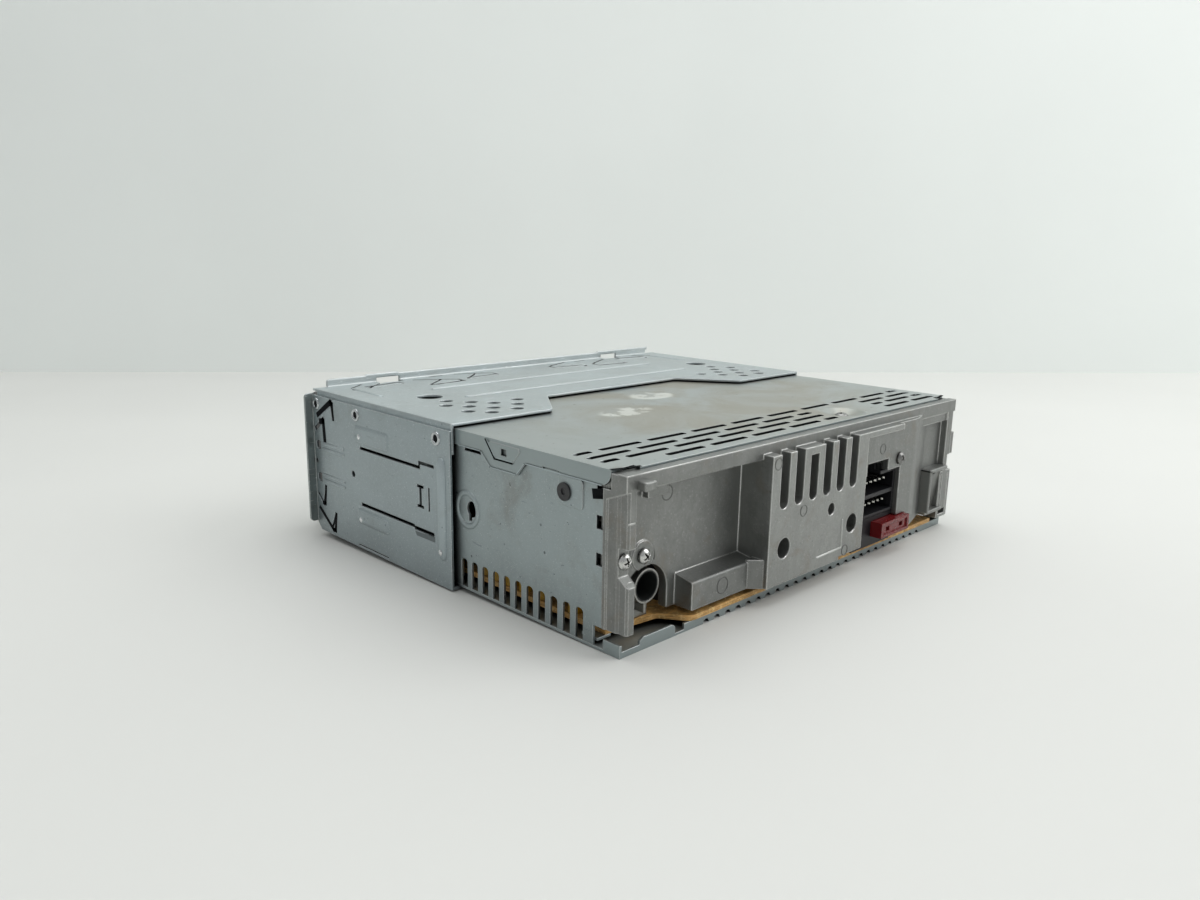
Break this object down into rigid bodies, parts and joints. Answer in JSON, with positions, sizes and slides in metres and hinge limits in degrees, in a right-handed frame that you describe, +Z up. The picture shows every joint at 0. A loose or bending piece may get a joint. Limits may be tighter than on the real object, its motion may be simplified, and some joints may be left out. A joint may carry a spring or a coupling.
{
  "type": "car cd player",
  "caption": "Slot-loading car disc player with a detachable face, a finned cast rear and a slip-on mounting sleeve.",
  "frame": {"origin": "middle of the bounding box's base: half way between the knob's front and the fuse's rear face", "axes": "-Y is the driver's side, +Y the heatsink side, +X the aerial side, +Z up"},
  "size_m": [0.188, 0.184, 0.0581],
  "materials": {
    "sleeve_steel": "zinc plated, dull, blue-grey",
    "chassis_steel": "zinc plated, satin, bluish",
    "cover_steel": "zinc plated, worn, smudged",
    "cast_alloy": "as cast, grainy",
    "bright_screw": "bright nickel",
    "black_screw": "black oxide",
    "board_brown": "phenolic board, varnished",
    "tin": "tinned steel",
    "plug_black": "black moulding",
    "pin_tin": "tinned",
    "fuse_red": "translucent red",
    "chip_black": "black sleeve and resin",
    "cap_yellow": "coloured sleeves",
    "mech_steel": "zinc plated",
    "motor_can": "nickel plated can",
    "ground_steel": "ground",
    "damper_rubber": "soft black rubber",
    "flat_cable": "white film",
    "mech_plastic": "black acetal",
    "lens": "clear lens in a dark holder",
    "front_plastic": "fine grain black",
    "face_plastic": "satin black",
    "window": "tinted, clear",
    "display": "dark display glass",
    "board_green": "varnished board",
    "encoder_metal": "stamped can",
    "key_black": "satin black",
    "knob_black": "soft-touch black"
  },
  "bodies": {
    "chassis": {"chassis_frame": "chassis_steel", "top_cover": "cover_steel", "bottom_cover": "cover_steel", "heatsink": "cast_alloy", "silver_screws": "bright_screw", "side_screws": "black_screw", "main_board": "board_brown", "antenna_socket": "tin", "antenna_clip": "tin", "power_connector": "plug_black", "connector_pins": "pin_tin", "fuse_holder": "plug_black", "amplifier_chip": "chip_black", "filter_capacitors": "chip_black", "small_capacitors": "cap_yellow", "tuner_module": "tin", "mech_base": "mech_steel", "mech_top_frame": "mech_steel", "mech_dampers": "damper_rubber", "loading_motor": "motor_can", "spindle_motor": "motor_can", "sled_motor": "motor_can", "guide_rods": "ground_steel", "ribbon_cable": "flat_cable", "disc_guide": "mech_plastic", "front_carrier": "front_plastic", "face_socket": "plug_black"},
    "sleeve": {"sleeve_lower": "sleeve_steel", "sleeve_upper": "sleeve_steel", "sleeve_rivets": "sleeve_steel"},
    "face": {"face_shell": "face_plastic", "face_back": "front_plastic", "display_window": "window", "display_panel": "display", "face_board": "board_green", "knob_encoder": "encoder_metal"},
    "volume_knob": {"volume_knob": "knob_black"},
    "preset_1": {"preset_button_1": "key_black"},
    "preset_2": {"preset_button_2": "key_black"},
    "preset_3": {"preset_button_3": "key_black"},
    "preset_4": {"preset_button_4": "key_black"},
    "preset_5": {"preset_button_5": "key_black"},
    "preset_6": {"preset_button_6": "key_black"},
    "source_button": {"source_button": "key_black"},
    "eject_button": {"eject_button": "key_black"},
    "search_rocker": {"search_rocker": "key_black"},
    "release_button": {"release_button": "key_black"},
    "fuse": {"fuse_body": "fuse_red", "fuse_blades": "pin_tin"},
    "roller": {"loading_roller": "damper_rubber", "roller_shaft": "ground_steel", "roller_gear": "mech_plastic"},
    "idler": {"idler_gear": "mech_plastic"},
    "pinion": {"motor_pinion": "mech_plastic"},
    "turntable": {"turntable": "mech_plastic"},
    "clamp_arm": {"clamp_arm": "mech_steel"},
    "clamper": {"clamper": "mech_plastic"},
    "sled": {"pickup_sled": "mech_plastic", "pickup_lens": "lens"},
    "sled_gear": {"sled_gear": "mech_plastic"}
  },
  "joints": [
    {"name": "sleeve_slide", "type": "slide", "parent": "chassis", "child": "sleeve", "axis": [0, 1, 0], "range_m": [0, 0.165]},
    {"name": "face_swing", "type": "hinge", "parent": "chassis", "child": "face", "pos_m": [-0.0805, -0.072, 0.026], "axis": [0, 0, -1], "range_deg": [0, 25]},
    {"name": "volume_turn", "type": "hinge", "parent": "face", "child": "volume_knob", "pos_m": [-0.06, -0.0862, 0.0215], "axis": [0, 1, 0], "continuous": true},
    {"name": "preset_1_press", "type": "slide", "parent": "face", "child": "preset_1", "axis": [0, 1, 0], "range_m": [0, 0.0008], "stiffness_N_per_m": 800},
    {"name": "preset_2_press", "type": "slide", "parent": "face", "child": "preset_2", "axis": [0, 1, 0], "range_m": [0, 0.0008], "stiffness_N_per_m": 800},
    {"name": "preset_3_press", "type": "slide", "parent": "face", "child": "preset_3", "axis": [0, 1, 0], "range_m": [0, 0.0008], "stiffness_N_per_m": 800},
    {"name": "preset_4_press", "type": "slide", "parent": "face", "child": "preset_4", "axis": [0, 1, 0], "range_m": [0, 0.0008], "stiffness_N_per_m": 800},
    {"name": "preset_5_press", "type": "slide", "parent": "face", "child": "preset_5", "axis": [0, 1, 0], "range_m": [0, 0.0008], "stiffness_N_per_m": 800},
    {"name": "preset_6_press", "type": "slide", "parent": "face", "child": "preset_6", "axis": [0, 1, 0], "range_m": [0, 0.0008], "stiffness_N_per_m": 800},
    {"name": "source_press", "type": "slide", "parent": "face", "child": "source_button", "axis": [0, 1, 0], "range_m": [0, 0.0008], "stiffness_N_per_m": 800},
    {"name": "eject_press", "type": "slide", "parent": "face", "child": "eject_button", "axis": [0, 1, 0], "range_m": [0, 0.0008], "stiffness_N_per_m": 800},
    {"name": "release_press", "type": "slide", "parent": "face", "child": "release_button", "axis": [0, 1, 0], "range_m": [0, 0.0008], "stiffness_N_per_m": 800},
    {"name": "search_rock", "type": "hinge", "parent": "face", "child": "search_rocker", "pos_m": [0.056, -0.0814, 0.0205], "axis": [0, 0, 1], "range_deg": [-3, 3], "stiffness_Nm_per_rad": 0.05},
    {"name": "fuse_pull", "type": "slide", "parent": "chassis", "child": "fuse", "axis": [0, 1, 0], "range_m": [0, 0.02]},
    {"name": "roller_spin", "type": "hinge", "parent": "chassis", "child": "roller", "pos_m": [0, -0.0562, 0.0361], "axis": [1, 0, 0], "continuous": true},
    {"name": "idler_spin", "type": "hinge", "parent": "chassis", "child": "idler", "pos_m": [0.0646, -0.0454, 0.02323], "axis": [1, 0, 0], "continuous": true},
    {"name": "pinion_spin", "type": "hinge", "parent": "chassis", "child": "pinion", "pos_m": [0.0646, -0.03227, 0.01971], "axis": [1, 0, 0], "continuous": true},
    {"name": "turntable_spin", "type": "hinge", "parent": "chassis", "child": "turntable", "pos_m": [0, 0.0038, 0.0395], "axis": [0, 0, 1], "continuous": true},
    {"name": "clamp_lift", "type": "hinge", "parent": "chassis", "child": "clamp_arm", "pos_m": [0, 0.0558, 0.0457], "axis": [-1, 0, 0], "range_deg": [0, 4], "stiffness_Nm_per_rad": 0.2},
    {"name": "clamper_spin", "type": "hinge", "parent": "clamp_arm", "child": "clamper", "pos_m": [0, 0.0038, 0.0457], "axis": [0, 0, 1], "continuous": true},
    {"name": "sled_slide", "type": "slide", "parent": "chassis", "child": "sled", "axis": [0, 1, 0], "range_m": [0, 0.032]},
    {"name": "sled_gear_turn", "type": "hinge", "parent": "chassis", "child": "sled_gear", "pos_m": [0.038, 0.0413, 0.0325], "axis": [0, 0, 1], "range_deg": [-306, 0]}
  ],
  "couplings": [
    {"joint": "idler_spin", "follows": "roller_spin", "ratio": -0.75},
    {"joint": "pinion_spin", "follows": "roller_spin", "ratio": 1.8},
    {"joint": "clamper_spin", "follows": "turntable_spin", "ratio": 1},
    {"joint": "sled_gear_turn", "follows": "sled_slide", "rad_per_m": -166.67}
  ]
}
